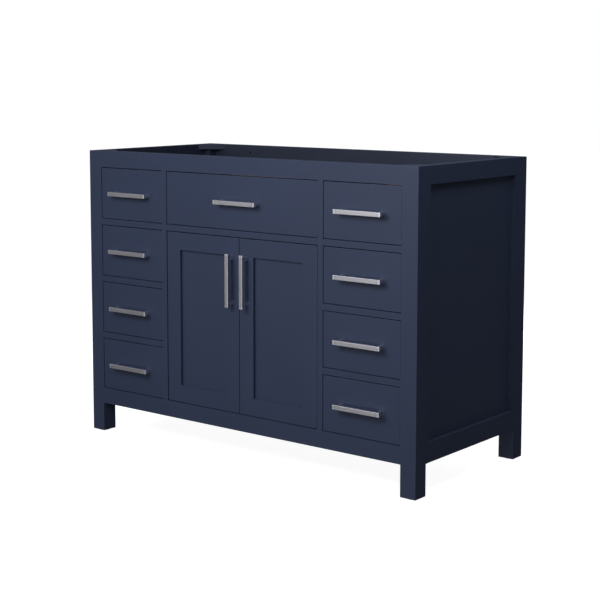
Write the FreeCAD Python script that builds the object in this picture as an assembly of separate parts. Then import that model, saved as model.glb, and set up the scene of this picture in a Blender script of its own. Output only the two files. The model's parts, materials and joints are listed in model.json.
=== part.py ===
import FreeCAD, Part
import math
import os

# Bathroom vanity cabinet: a post-and-rail carcase on four legs with an open top for a
# countertop and basin, four drawers each side, a wide drawer over the door compartment
# and two framed doors on concealed hinges.
# Millimetres, +Z up, front towards -Y, origin on the floor under the middle of the whole.

# Overall size
WIDTH = 1200.0
DEPTH = 552.0
HEIGHT = 870.0

# Posts, legs and rails
POST_WIDTH = 50.0            # across the front
POST_DEPTH = 58.0            # along the side
LEG_SIZE = 48.0              # square foot below the rails
FLOOR_GAP = 90.0             # floor to the underside of the rails
TOP_RAIL = 49.0
BOTTOM_RAIL = 49.0
SIDE_BOTTOM_RAIL = 55.0
RAIL_THICK = 28.0
DIVIDER = 18.0               # mullions, drawer rails and partitions
SIDE_BAY = 253.0             # clear width of the side drawer openings
DRAWER_ROWS = 4

# Joinery
TENON_LENGTH = 16.0
STUB_TENON = 7.0             # drawer rails into the mullions
TENON_THICK = 12.0
TENON_SHOULDER = 4.0
TENON_FIT = 0.1
PANEL_TONGUE = 8.0
PANEL_FIT = 0.2

# Panels
PANEL_RECESS = 14.0
PANEL_THICK = 8.0
FLOOR_THICK = 16.0
CUTOUT_WIDTH = 440.0         # plumbing opening in the back panel
CUTOUT_HEIGHT = 380.0
CUTOUT_LIFT = 80.0           # above the cabinet floor
CUTOUT_CORNER = 20.0
WALL_SCREW_SPACING = 800.0
WALL_SCREW_RADIUS = 3.0
CORNER_BLOCK = 62.0          # along each rail, under the countertop
CORNER_BLOCK_THICK = 16.0

# Leg glides
GLIDE_RADIUS = 17.0
GLIDE_THICK = 3.0
GLIDE_STEM_RADIUS = 3.0
GLIDE_STEM_LENGTH = 18.0

# Drawer fronts and doors, inset in the face frame
FRONT_THICK = 20.0
DRAWER_SIDE_GAP = 1.0
DOOR_SIDE_GAP = 2.0          # also between the doors
GAP_ABOVE = 2.5              # over drawer fronts and doors
GAP_BELOW = 1.5
FRONT_SETBACK = 1.0
EASED_EDGE = 1.0             # radius of the softened edges
DOOR_FRAME = 51.0            # stiles and rails
DOOR_PANEL_RECESS = 8.0
DOOR_PANEL_THICK = 6.0
DOOR_PANEL_TONGUE = 9.0
DOOR_TENON = 20.0
DOOR_TENON_THICK = 6.0

# Drawer boxes
BOARD_THICK = 12.0
BOX_HEIGHT = 118.0
BOX_LIFT = 12.0              # above the lower edge of the opening
BOX_REAR_ROOM = 19.0         # free behind the closed box
BOTTOM_THICK = 6.0
BOTTOM_GROOVE = 5.0
BOTTOM_LIFT = 10.0
BOTTOM_FIT = 0.1
ARM_WIDTH = 92.0             # each arm of the centre drawer beside the basin
NOTCH_LENGTH = 330.0         # room for the basin and its trap

# Drawer runners
RUNNER_SPACE = 13.0
RUNNER_HEIGHT = 45.0
RUNNER_SHEET = 1.3
RUNNER_GAP = 0.3             # between the flanges of the nested members
RUNNER_CLEAR = 2.0           # from the flanges of one member to the web of the other
RUNNER_START = 26.0          # behind the face of the frame
RUNNER_SCREW_END = 45.0      # screws of the sliding member from its ends

# Pulls
PULL_LENGTH = 152.0
PULL_HEIGHT = 12.0
PULL_REACH = 26.0
PULL_BAR = 10.0              # depth of the bar
PULL_LEG = 10.0              # square legs, set in from the ends of the bar
PULL_EASE = 0.8
PULL_SCREW_SPACING = 128.0
DOOR_PULL_DROP = 45.0        # top of the pull below the top of the door
SCREW_RADIUS = 2.0
SCREW_FIT = 0.25
SCREW_BITE = 8.0
SCREW_HEAD_RADIUS = 4.0
SCREW_HEAD_THICK = 2.4

# Small screws of the runners and hinges, and the recess in every screw head
FIXING_RADIUS = 1.6
FIXING_BITE = 8.0            # into the wood
FIXING_HEAD_RADIUS = 3.4
FIXING_HEAD_THICK = 1.9
HEAD_DOME = 0.7
DRIVE_SPAN = 3.8
DRIVE_WIDTH = 0.8
DRIVE_DEPTH = 1.0

# Concealed hinges
HINGE_INSET = 22.0           # pin from the hinge edge of the door
HINGE_SWING_GAP = 0.25       # between the swinging corner and the frame
HINGE_END = 95.0             # hinge centre from the end of the door
CUP_RADIUS = 17.5
CUP_EDGE = 5.0               # wood between the cup and the edge of the door
CUP_SHEET = 0.8
CUP_EAR_WIDTH = 12.0
CUP_EAR_LENGTH = 60.0
CUP_SCREW_SPACING = 48.0
CUP_EAR_THICK = 1.2
PIN_RADIUS = 1.5
PIN_FIT = 0.05
KNUCKLE_WALL = 0.9
KNUCKLE_CLEAR = 0.4
ARM_THICK = 2.0
ARM_HEIGHT = 12.0
ARM_CLEAR = 1.3
MOUNT_PLATE_THICK = 2.5
MOUNT_PLATE_LENGTH = 36.0
MOUNT_PLATE_HEIGHT = 50.0
MOUNT_SCREW_SPACING = 32.0

# Places worked out from the sizes
HALF = WIDTH / 2
PULL_PROUD = PULL_REACH - FRONT_SETBACK
FRONT = (PULL_PROUD - DEPTH) / 2
BACK = FRONT + DEPTH
BAY_OUTER = HALF - POST_WIDTH
BAY_INNER = BAY_OUTER - SIDE_BAY
CENTRE_HALF = BAY_INNER - DIVIDER
RIM_UNDERSIDE = HEIGHT - TOP_RAIL
OPENING_FLOOR = FLOOR_GAP + BOTTOM_RAIL
ROW_HEIGHT = (RIM_UNDERSIDE - OPENING_FLOOR - (DRAWER_ROWS - 1) * DIVIDER) / DRAWER_ROWS
ROW_PITCH = ROW_HEIGHT + DIVIDER
TOP_ROW_FLOOR = RIM_UNDERSIDE - ROW_HEIGHT
FACE = FRONT + FRONT_SETBACK
BOX_FRONT = FACE + FRONT_THICK
FRAME_REAR = FRONT + RAIL_THICK
BACK_RAIL_FACE = BACK - RAIL_THICK
BACK_PANEL_FACE = BACK - PANEL_RECESS - PANEL_THICK
BOX_BACK = BACK_PANEL_FACE - BOX_REAR_ROOM
DOOR_LOW = OPENING_FLOOR + GAP_BELOW
DOOR_HIGH = TOP_ROW_FLOOR - DIVIDER - GAP_ABOVE
DOOR_OUTER = CENTRE_HALF - DOOR_SIDE_GAP
DOOR_INNER = DOOR_SIDE_GAP / 2

PIN_DEPTH = math.sqrt((HINGE_INSET + DOOR_SIDE_GAP - HINGE_SWING_GAP) ** 2 - HINGE_INSET ** 2)
PIN_X = DOOR_OUTER - HINGE_INSET
PIN_Y = FACE + PIN_DEPTH
DOOR_REAR = FRONT_THICK - PIN_DEPTH
KNUCKLE_RADIUS = PIN_RADIUS + PIN_FIT + KNUCKLE_WALL
CUP_DEPTH = DOOR_REAR + KNUCKLE_RADIUS + KNUCKLE_CLEAR + CUP_SHEET
NEAR = 0.001


def block(x0, x1, y0, y1, z0, z1):
    """A box between two limits on each axis."""
    return Part.makeBox(x1 - x0, y1 - y0, z1 - z0, FreeCAD.Vector(x0, y0, z0))


def grown(shape, margin):
    """The box round a shape, larger by margin on every face."""
    box = shape.BoundBox
    return block(box.XMin - margin, box.XMax + margin, box.YMin - margin, box.YMax + margin,
                 box.ZMin - margin, box.ZMax + margin)


def rod(x, y, z, radius, length, direction):
    """A cylinder that starts at a point and runs along a direction."""
    return Part.makeCylinder(radius, length, FreeCAD.Vector(x, y, z), FreeCAD.Vector(*direction))


def screw(place, outward, radius, bite, head_radius, head_thick):
    """A cross-head screw, the underside of its head at a place and its shank going in."""
    shank = rod(0, 0, -bite, radius, bite, (0, 0, 1))
    head = eased(rod(0, 0, 0, head_radius, head_thick, (0, 0, 1)), HEAD_DOME, dict(z=head_thick))
    for wide, deep in ((DRIVE_SPAN, DRIVE_WIDTH), (DRIVE_WIDTH, DRIVE_SPAN)):
        head = head.cut(block(-wide / 2, wide / 2, -deep / 2, deep / 2,
                              head_thick - DRIVE_DEPTH, head_thick))
    shape = shank.fuse(head).removeSplitter()
    turn = FreeCAD.Rotation(FreeCAD.Vector(0, 0, 1), FreeCAD.Vector(*outward))
    shape.Placement = FreeCAD.Placement(FreeCAD.Vector(*place), turn)
    return shape


def fixing(x, y, z, outward, sheet):
    """A small screw through a sheet into the wood behind it."""
    return screw((x, y, z), outward, FIXING_RADIUS, sheet + FIXING_BITE,
                 FIXING_HEAD_RADIUS, FIXING_HEAD_THICK)


def pilot(x, y, z, outward):
    """The hole in the wood for a small screw."""
    return rod(x, y, z, FIXING_RADIUS, FIXING_BITE, [-step for step in outward])


def mirrored(shape):
    """The same shape on the other side of the cabinet."""
    return shape.mirror(FreeCAD.Vector(0, 0, 0), FreeCAD.Vector(1, 0, 0))


def edges_at(shape, **planes):
    """The edges of a shape that lie in every named plane, such as y=0, z=10."""
    found = []
    for edge in shape.Edges:
        box = edge.BoundBox
        spans = {"x": (box.XMin, box.XMax), "y": (box.YMin, box.YMax), "z": (box.ZMin, box.ZMax)}
        ends = [abs(end - place) for axis, place in planes.items() for end in spans[axis]]
        if max(ends) < NEAR:
            found.append(edge)
    return found


def eased(shape, radius, *places):
    """Softens the edges of a shape that lie in each of the given sets of planes."""
    picked = []
    for planes in places:
        for edge in edges_at(shape, **planes):
            if not any(edge.isSame(other) for other in picked):
                picked.append(edge)
    return shape.makeFillet(radius, picked)


def save(node, *solids):
    """Writes the solids of one node."""
    shape = solids[0] if len(solids) == 1 else Part.makeCompound(list(solids))
    shape.exportStep(os.path.join("parts", node + ".step"))


def rail_tenon(x, direction, length, y_middle, z0, z1):
    """The tenon at one end of a rail that runs across the cabinet."""
    ends = sorted((x, x + direction * length))
    half = TENON_THICK / 2
    return block(ends[0], ends[1], y_middle - half, y_middle + half,
                 z0 + TENON_SHOULDER, z1 - TENON_SHOULDER)


def side_rail_tenon(y, direction, z0, z1):
    """The tenon at one end of a left side rail."""
    ends = sorted((y, y + direction * TENON_LENGTH))
    middle = -HALF + RAIL_THICK / 2
    half = TENON_THICK / 2
    return block(middle - half, middle + half, ends[0], ends[1],
                 z0 + TENON_SHOULDER, z1 - TENON_SHOULDER)


def mullion_tenon(z, direction):
    """The tenon at one end of the left mullion."""
    ends = sorted((z, z + direction * TENON_LENGTH))
    x_middle = -CENTRE_HALF - DIVIDER / 2
    y_middle = FRONT + RAIL_THICK / 2
    half_width = DIVIDER / 2 - TENON_SHOULDER
    half = TENON_THICK / 2
    return block(x_middle - half_width, x_middle + half_width, y_middle - half, y_middle + half,
                 ends[0], ends[1])


def cut_from(shape, tools, margin):
    """Cuts a housing for each tool, larger than it by a margin."""
    for tool in tools:
        shape = shape.cut(grown(tool, margin))
    return shape


def front_rail_tenons(z0, z1):
    """Both tenons of a front rail between the posts."""
    middle = FRONT + RAIL_THICK / 2
    return [rail_tenon(-BAY_OUTER, -1, TENON_LENGTH, middle, z0, z1),
            rail_tenon(BAY_OUTER, 1, TENON_LENGTH, middle, z0, z1)]


def back_rail_tenons(z0, z1):
    """Both tenons of a back rail between the posts."""
    middle = BACK - RAIL_THICK / 2
    return [rail_tenon(-BAY_OUTER, -1, TENON_LENGTH, middle, z0, z1),
            rail_tenon(BAY_OUTER, 1, TENON_LENGTH, middle, z0, z1)]


def side_rail_levels():
    """Lower and upper limits of the two rails of a side."""
    return [(FLOOR_GAP, FLOOR_GAP + SIDE_BOTTOM_RAIL), (RIM_UNDERSIDE, HEIGHT)]


def divider_levels():
    """Lower edges of the drawer rails, from the lowest up."""
    return [OPENING_FLOOR + row * ROW_PITCH - DIVIDER for row in range(1, DRAWER_ROWS)]


def side_panel():
    """The left side panel, with its tongue all round in the posts and rails."""
    x0 = -HALF + PANEL_RECESS
    return block(x0, x0 + PANEL_THICK,
                 FRONT + POST_DEPTH - PANEL_TONGUE, BACK - POST_DEPTH + PANEL_TONGUE,
                 FLOOR_GAP + SIDE_BOTTOM_RAIL - PANEL_TONGUE, RIM_UNDERSIDE + PANEL_TONGUE)


def back_blank():
    """The back panel before its opening is cut."""
    return block(-BAY_OUTER - PANEL_TONGUE, BAY_OUTER + PANEL_TONGUE,
                 BACK_PANEL_FACE, BACK_PANEL_FACE + PANEL_THICK,
                 OPENING_FLOOR - PANEL_TONGUE, RIM_UNDERSIDE + PANEL_TONGUE)


def floor_blank():
    """The floor panel, housed in the rails, before it is notched round the posts."""
    x = HALF - PANEL_RECESS - PANEL_THICK - PANEL_FIT
    return block(-x, x, FRAME_REAR - PANEL_TONGUE, BACK_PANEL_FACE - PANEL_FIT,
                 OPENING_FLOOR - FLOOR_THICK, OPENING_FLOOR)


def glide_centres():
    """Middle of each leg, left front first."""
    x = HALF - LEG_SIZE / 2
    return [(side * x, y) for y in (FRONT + LEG_SIZE / 2, BACK - LEG_SIZE / 2) for side in (-1, 1)]


def left_post(front):
    """The left front or left back post with its leg, mortises and panel grooves."""
    outer = FRONT if front else BACK
    inward = 1 if front else -1
    post_ys = sorted((outer, outer + inward * POST_DEPTH))
    leg_ys = sorted((outer, outer + inward * LEG_SIZE))
    post = block(-HALF, -BAY_OUTER, post_ys[0], post_ys[1], FLOOR_GAP, HEIGHT)
    post = post.fuse(block(-HALF, -HALF + LEG_SIZE, leg_ys[0], leg_ys[1], GLIDE_THICK, FLOOR_GAP))
    post = post.removeSplitter()
    inner = outer + inward * POST_DEPTH
    post = eased(post, EASED_EDGE,
                 dict(x=-HALF, y=outer), dict(x=-HALF, z=HEIGHT), dict(y=outer, z=HEIGHT),
                 dict(x=-HALF, z=GLIDE_THICK), dict(y=outer, z=GLIDE_THICK),
                 dict(x=-HALF + LEG_SIZE, z=GLIDE_THICK))
    tenons = [side_rail_tenon(inner, -inward, z0, z1) for z0, z1 in side_rail_levels()]
    rail_levels = [(FLOOR_GAP, OPENING_FLOOR), (RIM_UNDERSIDE, HEIGHT)]
    for z0, z1 in rail_levels:
        tenons.append((front_rail_tenons if front else back_rail_tenons)(z0, z1)[0])
    if front:
        for z0 in divider_levels():
            tenons.append(drawer_rail_tenons(z0)[0])
    post = cut_from(post, tenons, TENON_FIT)
    panels = [side_panel()] if front else [side_panel(), back_blank()]
    post = cut_from(post, panels, PANEL_FIT)
    leg_y = outer + inward * LEG_SIZE / 2
    return post.cut(rod(-HALF + LEG_SIZE / 2, leg_y, 0, GLIDE_STEM_RADIUS + TENON_FIT,
                        GLIDE_THICK + GLIDE_STEM_LENGTH + TENON_FIT, (0, 0, 1)))


def drawer_rail_tenons(z0):
    """Both tenons of a left drawer rail: into the post and into the mullion."""
    middle = FRONT + RAIL_THICK / 2
    return [rail_tenon(-BAY_OUTER, -1, TENON_LENGTH, middle, z0, z0 + DIVIDER),
            rail_tenon(-BAY_INNER, 1, STUB_TENON, middle, z0, z0 + DIVIDER)]


def centre_rail_tenons():
    """Both tenons of the rail under the centre drawer."""
    middle = FRONT + RAIL_THICK / 2
    z0 = TOP_ROW_FLOOR - DIVIDER
    return [rail_tenon(-CENTRE_HALF, -1, STUB_TENON, middle, z0, z0 + DIVIDER),
            rail_tenon(CENTRE_HALF, 1, STUB_TENON, middle, z0, z0 + DIVIDER)]


def mullion():
    """The left mullion, from the bottom rail to the top rail."""
    shape = block(-BAY_INNER, -CENTRE_HALF, FRONT, FRAME_REAR, OPENING_FLOOR, RIM_UNDERSIDE)
    for tenon in (mullion_tenon(RIM_UNDERSIDE, 1), mullion_tenon(OPENING_FLOOR, -1)):
        shape = shape.fuse(tenon)
    tenons = [drawer_rail_tenons(z0)[1] for z0 in divider_levels()]
    tenons.append(centre_rail_tenons()[0])
    return cut_from(shape.removeSplitter(), tenons, TENON_FIT)


def front_rail(z0, z1, mullion_end, eased_at):
    """A front rail between the posts, with mortises for the mullions."""
    rail = block(-BAY_OUTER, BAY_OUTER, FRONT, FRAME_REAR, z0, z1)
    rail = eased(rail, EASED_EDGE, dict(y=FRONT, z=eased_at))
    for tenon in front_rail_tenons(z0, z1):
        rail = rail.fuse(tenon)
    rail = cut_from(rail, [mullion_end, mirrored(mullion_end)], TENON_FIT)
    return cut_from(rail, [floor_blank()], PANEL_FIT)


def drawer_rails():
    """Three rails each side between post and mullion, and one under the centre drawer."""
    rails = []
    for z0 in divider_levels():
        rail = block(-BAY_OUTER, -BAY_INNER, FRONT, FRAME_REAR, z0, z0 + DIVIDER)
        for tenon in drawer_rail_tenons(z0):
            rail = rail.fuse(tenon)
        rails += [rail, mirrored(rail)]
    z0 = TOP_ROW_FLOOR - DIVIDER
    centre = block(-CENTRE_HALF, CENTRE_HALF, FRONT, FRAME_REAR, z0, z0 + DIVIDER)
    for tenon in centre_rail_tenons():
        centre = centre.fuse(tenon)
    return rails + [centre]


def floor_rebate():
    """The rebate along the left bottom rail that the floor panel drops into."""
    x0 = -HALF + PANEL_RECESS + PANEL_THICK
    return block(x0, -HALF + RAIL_THICK, FRONT, BACK,
                 OPENING_FLOOR - FLOOR_THICK - PANEL_FIT, FLOOR_GAP + SIDE_BOTTOM_RAIL)


def wall_screw_holes():
    """The holes through the back top rail for the wall screws."""
    z = (RIM_UNDERSIDE + HEIGHT) / 2
    return [rod(side * WALL_SCREW_SPACING / 2, BACK_RAIL_FACE, z, WALL_SCREW_RADIUS, RAIL_THICK, (0, 1, 0))
            for side in (-1, 1)]


def corner_block(front):
    """The left front or left back block across a corner of the rim, let in round the post."""
    x = -HALF + RAIL_THICK
    y, inward = (FRAME_REAR, 1) if front else (BACK_RAIL_FACE, -1)
    low = HEIGHT - CORNER_BLOCK_THICK
    corners = [(x, y), (x + CORNER_BLOCK, y), (x, y + inward * CORNER_BLOCK), (x, y)]
    outline = Part.makePolygon([FreeCAD.Vector(*corner, low) for corner in corners])
    prism = Part.Face(outline).extrude(FreeCAD.Vector(0, 0, CORNER_BLOCK_THICK))
    post_ys = sorted((y, y + inward * (POST_DEPTH - RAIL_THICK)))
    return prism.cut(block(x, -BAY_OUTER, *post_ys, low, HEIGHT))


def carcase_rails():
    """Side and back rails, top and bottom, and the corner blocks of the rim."""
    rails = []
    y0 = FRONT + POST_DEPTH
    y1 = BACK - POST_DEPTH
    for z0, z1 in side_rail_levels():
        edge = z0 if z0 == FLOOR_GAP else z1
        rail = block(-HALF, -HALF + RAIL_THICK, y0, y1, z0, z1)
        rail = eased(rail, EASED_EDGE, dict(x=-HALF, z=edge))
        rail = rail.fuse(side_rail_tenon(y0, -1, z0, z1)).fuse(side_rail_tenon(y1, 1, z0, z1))
        rail = cut_from(rail, [side_panel()], PANEL_FIT).cut(floor_rebate())
        rails += [rail, mirrored(rail)]
    for z0, z1 in ((FLOOR_GAP, OPENING_FLOOR), (RIM_UNDERSIDE, HEIGHT)):
        edge = z0 if z0 == FLOOR_GAP else z1
        rail = block(-BAY_OUTER, BAY_OUTER, BACK_RAIL_FACE, BACK, z0, z1)
        rail = eased(rail, EASED_EDGE, dict(y=BACK, z=edge))
        for tenon in back_rail_tenons(z0, z1):
            rail = rail.fuse(tenon)
        rail = cut_from(rail, [back_blank(), floor_blank()], PANEL_FIT)
        for hole in wall_screw_holes():
            rail = rail.cut(hole)
        rails.append(rail)
    corners = [corner_block(front) for front in (True, False)]
    return rails + corners + [mirrored(corner) for corner in corners]


def floor_panel():
    """The cabinet floor, notched round the four posts."""
    panel = floor_blank()
    low = OPENING_FLOOR - FLOOR_THICK
    for y0, y1 in ((FRONT, FRONT + POST_DEPTH), (BACK - POST_DEPTH, BACK)):
        post = block(-HALF, -BAY_OUTER, y0, y1, low, OPENING_FLOOR)
        panel = panel.cut(post).cut(mirrored(post))
    return panel


def back_panel():
    """The back panel with its rounded opening for the pipes."""
    z0 = OPENING_FLOOR + CUTOUT_LIFT
    opening = block(-CUTOUT_WIDTH / 2, CUTOUT_WIDTH / 2, BACK_PANEL_FACE, BACK_PANEL_FACE + PANEL_THICK,
                    z0, z0 + CUTOUT_HEIGHT)
    places = [dict(x=x, z=z) for x in (-CUTOUT_WIDTH / 2, CUTOUT_WIDTH / 2) for z in (z0, z0 + CUTOUT_HEIGHT)]
    return back_blank().cut(eased(opening, CUTOUT_CORNER, *places))


def partition():
    """The left partition behind the mullion."""
    return block(-BAY_INNER, -CENTRE_HALF, FRAME_REAR, BACK_PANEL_FACE, OPENING_FLOOR, RIM_UNDERSIDE)


def leg_glides():
    """A pad with a stem under each leg."""
    glides = []
    for x, y in glide_centres():
        pad = rod(x, y, 0, GLIDE_RADIUS, GLIDE_THICK, (0, 0, 1))
        pad = eased(pad, EASED_EDGE, dict(z=0))
        stem = rod(x, y, GLIDE_THICK, GLIDE_STEM_RADIUS, GLIDE_STEM_LENGTH, (0, 0, 1))
        glides.append(pad.fuse(stem))
    return glides


def runner_screw_places(fixed):
    """Where along a runner's fixed or sliding member its screws are."""
    if fixed:
        return [(FRONT + RUNNER_START + FRONT + POST_DEPTH) / 2, (BACK - POST_DEPTH + BOX_BACK) / 2]
    return [FRONT + RUNNER_START + RUNNER_SCREW_END, BOX_BACK - RUNNER_SCREW_END]


def runner_middle(box_floor):
    """Height of the middle of a runner above the floor."""
    return box_floor + BOX_HEIGHT / 2


def runner_pilots(wall_x, side, box_floor, fixed):
    """Screw holes in what carries one member of a runner."""
    return [pilot(wall_x, y, runner_middle(box_floor), (side, 0, 0)) for y in runner_screw_places(fixed)]


def hinge_base_y():
    """Front edge of a hinge's mounting plate."""
    return PIN_Y + math.hypot(HINGE_INSET, DOOR_REAR) + ARM_CLEAR


def mount_screw_places(z):
    """Place across the depth and height of the screws of a hinge's mounting plate."""
    y = hinge_base_y() + MOUNT_PLATE_LENGTH / 2
    return [(y, z + side * MOUNT_SCREW_SPACING / 2) for side in (-1, 1)]


def carcase_pilots():
    """Screw holes of the runners and hinges in the left posts and partition."""
    holes = []
    for name, x0, x1, z0 in drawer_bays():
        if not name.startswith("right"):
            holes += runner_pilots(x0, 1, z0 + BOX_LIFT, True)
            holes += runner_pilots(x1, -1, z0 + BOX_LIFT, True)
    for z in hinge_levels():
        holes += [pilot(-CENTRE_HALF, y, screw_z, (1, 0, 0)) for y, screw_z in mount_screw_places(z)]
    return holes


def runner_member(wall_x, side, z_middle, height, fixed):
    """A sheet channel whose web lies on a wall and whose flanges point along side, and its screws."""
    y0 = FRONT + RUNNER_START
    flange = RUNNER_SPACE - RUNNER_SHEET - RUNNER_CLEAR
    web = sorted((wall_x, wall_x + side * RUNNER_SHEET))
    reach = sorted((wall_x, wall_x + side * flange))
    half = height / 2
    shape = block(web[0], web[1], y0, BOX_BACK, z_middle - half, z_middle + half)
    for z in (z_middle - half, z_middle + half - RUNNER_SHEET):
        shape = shape.fuse(block(reach[0], reach[1], y0, BOX_BACK, z, z + RUNNER_SHEET))
    screws = []
    for y in runner_screw_places(fixed):
        screws.append(fixing(wall_x + side * RUNNER_SHEET, y, z_middle, (side, 0, 0), RUNNER_SHEET))
        shape = shape.cut(rod(wall_x, y, z_middle, FIXING_RADIUS + SCREW_FIT, RUNNER_SHEET, (side, 0, 0)))
    return [shape.removeSplitter()] + screws


def cabinet_member(wall_x, side, box_floor):
    """The fixed member of a runner, its open side towards the drawer."""
    return runner_member(wall_x, side, runner_middle(box_floor), RUNNER_HEIGHT, True)


def drawer_member(box_x, side, box_floor):
    """The sliding member on the drawer, nested in the fixed one."""
    height = RUNNER_HEIGHT - 2 * (RUNNER_SHEET + RUNNER_GAP)
    return runner_member(box_x, side, runner_middle(box_floor), height, False)


def drawer_bays():
    """Name, left and right limit of the opening and its lower edge, for every drawer."""
    bays = [("centre_drawer", -CENTRE_HALF, CENTRE_HALF, TOP_ROW_FLOOR)]
    for row in range(DRAWER_ROWS):
        z0 = TOP_ROW_FLOOR - row * ROW_PITCH
        bays.append(("left_drawer_%d" % (row + 1), -BAY_OUTER, -BAY_INNER, z0))
        bays.append(("right_drawer_%d" % (row + 1), BAY_INNER, BAY_OUTER, z0))
    return bays


def cabinet_runners():
    """Both fixed members of every drawer with their screws."""
    members = []
    for _, x0, x1, z0 in drawer_bays():
        members += cabinet_member(x0, 1, z0 + BOX_LIFT)
        members += cabinet_member(x1, -1, z0 + BOX_LIFT)
    return members


def pull_blank():
    """A pull lying along X, its feet on y=0 and its middle at the origin."""
    half = PULL_LENGTH / 2
    tall = PULL_HEIGHT / 2
    rear = -PULL_REACH + PULL_BAR
    pull = block(-half, half, -PULL_REACH, rear, -tall, tall)
    pull = eased(pull, PULL_EASE, dict(y=-PULL_REACH), dict(y=rear), dict(x=-half), dict(x=half))
    leg = PULL_LEG / 2
    for x in pull_screw_places():
        pull = pull.fuse(block(x - leg, x + leg, rear, 0, -leg, leg))
        pull = pull.cut(rod(x, 0, 0, SCREW_RADIUS, SCREW_BITE, (0, -1, 0)))
    return pull


def pull_screw_places():
    """Where the two legs and their screws stand along a pull."""
    return [side * PULL_SCREW_SPACING / 2 for side in (-1, 1)]


def pull_set(depth):
    """A pull and its two screws, whose heads lie depth behind the pull's feet."""
    solids = [pull_blank()]
    for x in pull_screw_places():
        solids.append(screw((x, depth, 0), (0, 1, 0), SCREW_RADIUS, SCREW_BITE + depth,
                            SCREW_HEAD_RADIUS, SCREW_HEAD_THICK))
    return solids


def placed(solids, x, y, z, upright=False):
    """Moves solids to a place, first turning them upright where asked."""
    moved = []
    for solid in solids:
        copy = solid.copy()
        if upright:
            copy.rotate(FreeCAD.Vector(0, 0, 0), FreeCAD.Vector(0, 1, 0), 90)
        copy.translate(FreeCAD.Vector(x, y, z))
        moved.append(copy)
    return moved


def screw_hole(x, y0, y1, z):
    """A clearance hole for a pull screw."""
    return rod(x, y0, z, SCREW_RADIUS + SCREW_FIT, y1 - y0, (0, 1, 0))


def drawer_front(x0, x1, z0):
    """The inset front of a drawer with its screw holes."""
    low = z0 + GAP_BELOW
    high = z0 + ROW_HEIGHT - GAP_ABOVE
    front = block(x0 + DRAWER_SIDE_GAP, x1 - DRAWER_SIDE_GAP, FACE, BOX_FRONT, low, high)
    front = eased(front, EASED_EDGE, dict(y=FACE))
    for x in pull_screw_places():
        front = front.cut(screw_hole((x0 + x1) / 2 + x, FACE, BOX_FRONT, z0 + ROW_HEIGHT / 2))
    return front


def box_limits(x0, x1):
    """Left and right outer face of the drawer box in an opening."""
    return x0 + RUNNER_SPACE, x1 - RUNNER_SPACE


def straight_box(x0, x1, z0):
    """Sides, front, back and grooved-in bottom of a side drawer's box."""
    left, right = box_limits(x0, x1)
    low = z0 + BOX_LIFT
    high = low + BOX_HEIGHT
    bottom_low = low + BOTTOM_LIFT
    inner = BOARD_THICK - BOTTOM_GROOVE
    bottom = block(left + inner, right - inner, BOX_FRONT + inner, BOX_BACK - inner,
                   bottom_low, bottom_low + BOTTOM_THICK)
    boards = [block(left, left + BOARD_THICK, BOX_FRONT, BOX_BACK, low, high),
              block(right - BOARD_THICK, right, BOX_FRONT, BOX_BACK, low, high),
              block(left + BOARD_THICK, right - BOARD_THICK, BOX_FRONT, BOX_FRONT + BOARD_THICK, low, high),
              block(left + BOARD_THICK, right - BOARD_THICK, BOX_BACK - BOARD_THICK, BOX_BACK, low, high)]
    boards = [cut_from(board, [bottom], BOTTOM_FIT) for board in boards]
    boards[0] = boards[0].cut(runner_pilots(left, -1, low, False))
    boards[1] = boards[1].cut(runner_pilots(right, 1, low, False))
    for x in pull_screw_places():
        hole = screw_hole((x0 + x1) / 2 + x, BOX_FRONT, BOX_FRONT + BOARD_THICK, z0 + ROW_HEIGHT / 2)
        boards[2] = boards[2].cut(hole)
    return boards + [bottom]


def notched_bottom(left, right, z0, margin):
    """The centre drawer's bottom, or with a margin the groove that holds it."""
    inner = BOARD_THICK - BOTTOM_GROOVE
    z1 = z0 + BOTTOM_THICK + margin
    plate = block(left + inner - margin, right - inner + margin,
                  BOX_FRONT + inner - margin, BOX_BACK - inner + margin, z0 - margin, z1)
    notch = block(left + ARM_WIDTH - inner + margin, right - ARM_WIDTH + inner - margin,
                  BOX_BACK - NOTCH_LENGTH - inner + margin, BOX_BACK, z0 - margin, z1)
    return plate.cut(notch)


def notched_box(x0, x1, z0):
    """The centre drawer's box, with an arm each side of the space for basin and trap."""
    left, right = box_limits(x0, x1)
    low = z0 + BOX_LIFT
    high = low + BOX_HEIGHT
    front = BOX_FRONT + BOARD_THICK
    back = BOX_BACK - BOARD_THICK
    notch_left = left + ARM_WIDTH
    notch_right = right - ARM_WIDTH
    notch_front = BOX_BACK - NOTCH_LENGTH
    plans = [(left, left + BOARD_THICK, BOX_FRONT, BOX_BACK),
             (right - BOARD_THICK, right, BOX_FRONT, BOX_BACK),
             (left + BOARD_THICK, right - BOARD_THICK, BOX_FRONT, front),
             (left + BOARD_THICK, notch_left, back, BOX_BACK),
             (notch_right, right - BOARD_THICK, back, BOX_BACK),
             (notch_left - BOARD_THICK, notch_left, notch_front, back),
             (notch_right, notch_right + BOARD_THICK, notch_front, back),
             (notch_left - BOARD_THICK, notch_right + BOARD_THICK, notch_front - BOARD_THICK, notch_front)]
    groove = notched_bottom(left, right, low + BOTTOM_LIFT, BOTTOM_FIT)
    boards = [block(*plan, low, high).cut(groove) for plan in plans]
    boards[0] = boards[0].cut(runner_pilots(left, -1, low, False))
    boards[1] = boards[1].cut(runner_pilots(right, 1, low, False))
    for x in pull_screw_places():
        hole = screw_hole((x0 + x1) / 2 + x, BOX_FRONT, front, z0 + ROW_HEIGHT / 2)
        boards[2] = boards[2].cut(hole)
    return boards + [notched_bottom(left, right, low + BOTTOM_LIFT, 0)]


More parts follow.
